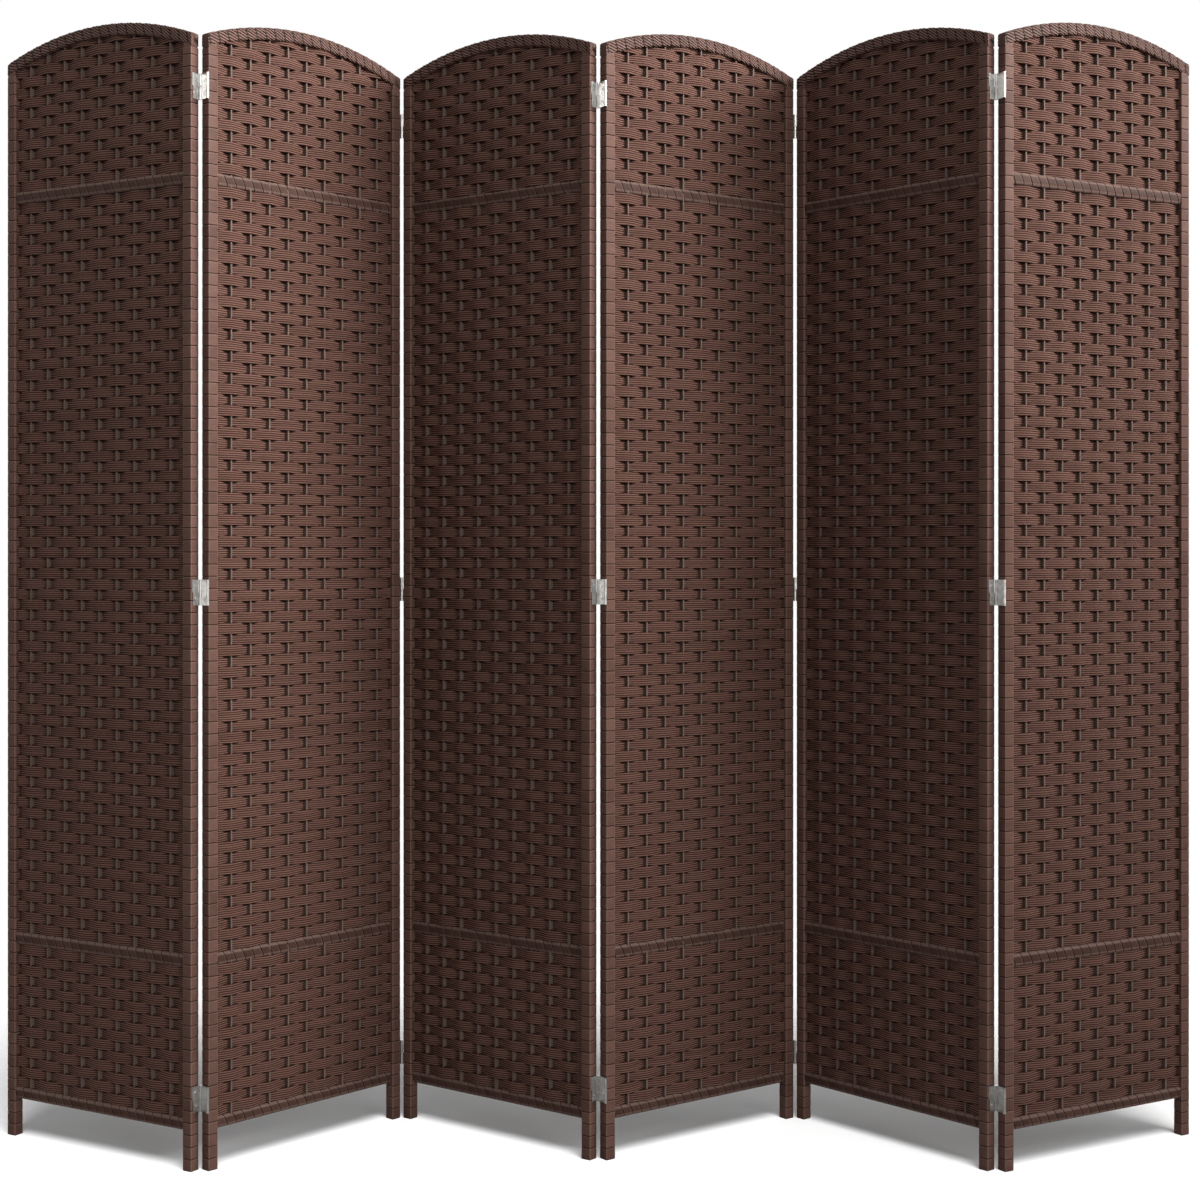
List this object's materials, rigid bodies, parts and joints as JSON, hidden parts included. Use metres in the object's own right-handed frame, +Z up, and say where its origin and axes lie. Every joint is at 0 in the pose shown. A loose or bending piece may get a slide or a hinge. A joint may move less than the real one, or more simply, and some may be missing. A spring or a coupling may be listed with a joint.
{
  "type": "woven folding screen",
  "caption": "Free-standing folding room divider: arched ribbon-wrapped wooden frames with woven paper-cord infill, joined by double-action hinges so that it folds both ways.",
  "frame": {"origin": "Middle of the floor area under the standing screen's box, on the floor.", "axes": "+X to the right along the screen, +Y to its back, +Z up."},
  "size_m": [1.9466, 0.3244, 1.8],
  "materials": {
    "ribbon_wrapped_wood": "dark brown paper ribbon, satin",
    "paper_cord": "dark brown twisted paper cord, matt",
    "stained_stick": "dark brown stain",
    "plated_steel": "bright nickel plate"
  },
  "bodies": {
    "panel_1": {"panel_1_left_post": "ribbon_wrapped_wood", "panel_1_right_post": "ribbon_wrapped_wood", "panel_1_top_rail": "ribbon_wrapped_wood", "panel_1_cross_rails": "ribbon_wrapped_wood", "panel_1_warp_sticks": "stained_stick", "panel_1_weave": "paper_cord", "hinge_1_2_left_leaves": "plated_steel"},
    "panel_2": {"panel_2_left_post": "ribbon_wrapped_wood", "panel_2_right_post": "ribbon_wrapped_wood", "panel_2_top_rail": "ribbon_wrapped_wood", "panel_2_cross_rails": "ribbon_wrapped_wood", "panel_2_warp_sticks": "stained_stick", "panel_2_weave": "paper_cord", "hinge_1_2_right_leaves": "plated_steel", "hinge_2_3_left_leaves": "plated_steel"},
    "panel_3": {"panel_3_left_post": "ribbon_wrapped_wood", "panel_3_right_post": "ribbon_wrapped_wood", "panel_3_top_rail": "ribbon_wrapped_wood", "panel_3_cross_rails": "ribbon_wrapped_wood", "panel_3_warp_sticks": "stained_stick", "panel_3_weave": "paper_cord", "hinge_2_3_right_leaves": "plated_steel", "hinge_3_4_left_leaves": "plated_steel"},
    "panel_4": {"panel_4_left_post": "ribbon_wrapped_wood", "panel_4_right_post": "ribbon_wrapped_wood", "panel_4_top_rail": "ribbon_wrapped_wood", "panel_4_cross_rails": "ribbon_wrapped_wood", "panel_4_warp_sticks": "stained_stick", "panel_4_weave": "paper_cord", "hinge_3_4_right_leaves": "plated_steel", "hinge_4_5_left_leaves": "plated_steel"},
    "panel_5": {"panel_5_left_post": "ribbon_wrapped_wood", "panel_5_right_post": "ribbon_wrapped_wood", "panel_5_top_rail": "ribbon_wrapped_wood", "panel_5_cross_rails": "ribbon_wrapped_wood", "panel_5_warp_sticks": "stained_stick", "panel_5_weave": "paper_cord", "hinge_4_5_right_leaves": "plated_steel", "hinge_5_6_left_leaves": "plated_steel"},
    "panel_6": {"panel_6_left_post": "ribbon_wrapped_wood", "panel_6_right_post": "ribbon_wrapped_wood", "panel_6_top_rail": "ribbon_wrapped_wood", "panel_6_cross_rails": "ribbon_wrapped_wood", "panel_6_warp_sticks": "stained_stick", "panel_6_weave": "paper_cord", "hinge_5_6_right_leaves": "plated_steel"},
    "hinge_1_2_link": {"hinge_1_2_middle_leaves": "plated_steel", "hinge_1_2_pins": "plated_steel"},
    "hinge_2_3_link": {"hinge_2_3_middle_leaves": "plated_steel", "hinge_2_3_pins": "plated_steel"},
    "hinge_3_4_link": {"hinge_3_4_middle_leaves": "plated_steel", "hinge_3_4_pins": "plated_steel"},
    "hinge_4_5_link": {"hinge_4_5_middle_leaves": "plated_steel", "hinge_4_5_pins": "plated_steel"},
    "hinge_5_6_link": {"hinge_5_6_middle_leaves": "plated_steel", "hinge_5_6_pins": "plated_steel"}
  },
  "joints": [
    {"name": "hinge_1_2_front_pin", "type": "hinge", "parent": "panel_2", "child": "hinge_1_2_link", "pos_m": [-0.60414, -0.15638, 0.87076], "axis": [0, 0, 1], "range_deg": [0, 150]},
    {"name": "hinge_1_2_back_pin", "type": "hinge", "parent": "hinge_1_2_link", "child": "panel_1", "pos_m": [-0.61791, -0.14402, 0.87076], "axis": [0, 0, -1], "range_deg": [-78.8, 101.2]},
    {"name": "hinge_2_3_front_pin", "type": "hinge", "parent": "panel_3", "child": "hinge_2_3_link", "pos_m": [-0.33354, 0.14522, 0.87076], "axis": [0, 0, 1], "range_deg": [-85.4, 94.6]},
    {"name": "hinge_2_3_back_pin", "type": "hinge", "parent": "hinge_2_3_link", "child": "panel_2", "pos_m": [-0.34731, 0.15757, 0.87076], "axis": [0, 0, -1], "range_deg": [0, 150]},
    {"name": "hinge_3_4_back_pin", "type": "hinge", "parent": "panel_3", "child": "hinge_3_4_link", "pos_m": [0, -0.08561, 0.87076], "axis": [0, 0, 1], "range_deg": [-74.6, 105.4]},
    {"name": "hinge_3_4_front_pin", "type": "hinge", "parent": "hinge_3_4_link", "child": "panel_4", "pos_m": [0.01121, -0.10033, 0.87076], "axis": [0, 0, -1], "range_deg": [0, 150]},
    {"name": "hinge_4_5_back_pin", "type": "hinge", "parent": "panel_4", "child": "hinge_4_5_link", "pos_m": [0.32233, 0.15993, 0.87076], "axis": [0, 0, 1], "range_deg": [0, 150]},
    {"name": "hinge_4_5_front_pin", "type": "hinge", "parent": "hinge_4_5_link", "child": "panel_5", "pos_m": [0.33354, 0.14522, 0.87076], "axis": [0, 0, -1], "range_deg": [-85.4, 94.6]},
    {"name": "hinge_5_6_back_pin", "type": "hinge", "parent": "panel_5", "child": "hinge_5_6_link", "pos_m": [0.61791, -0.14402, 0.87076], "axis": [0, 0, 1], "range_deg": [-78.8, 101.2]},
    {"name": "hinge_5_6_front_pin", "type": "hinge", "parent": "hinge_5_6_link", "child": "panel_6", "pos_m": [0.62736, -0.15993, 0.87076], "axis": [0, 0, -1], "range_deg": [0, 150]}
  ]
}
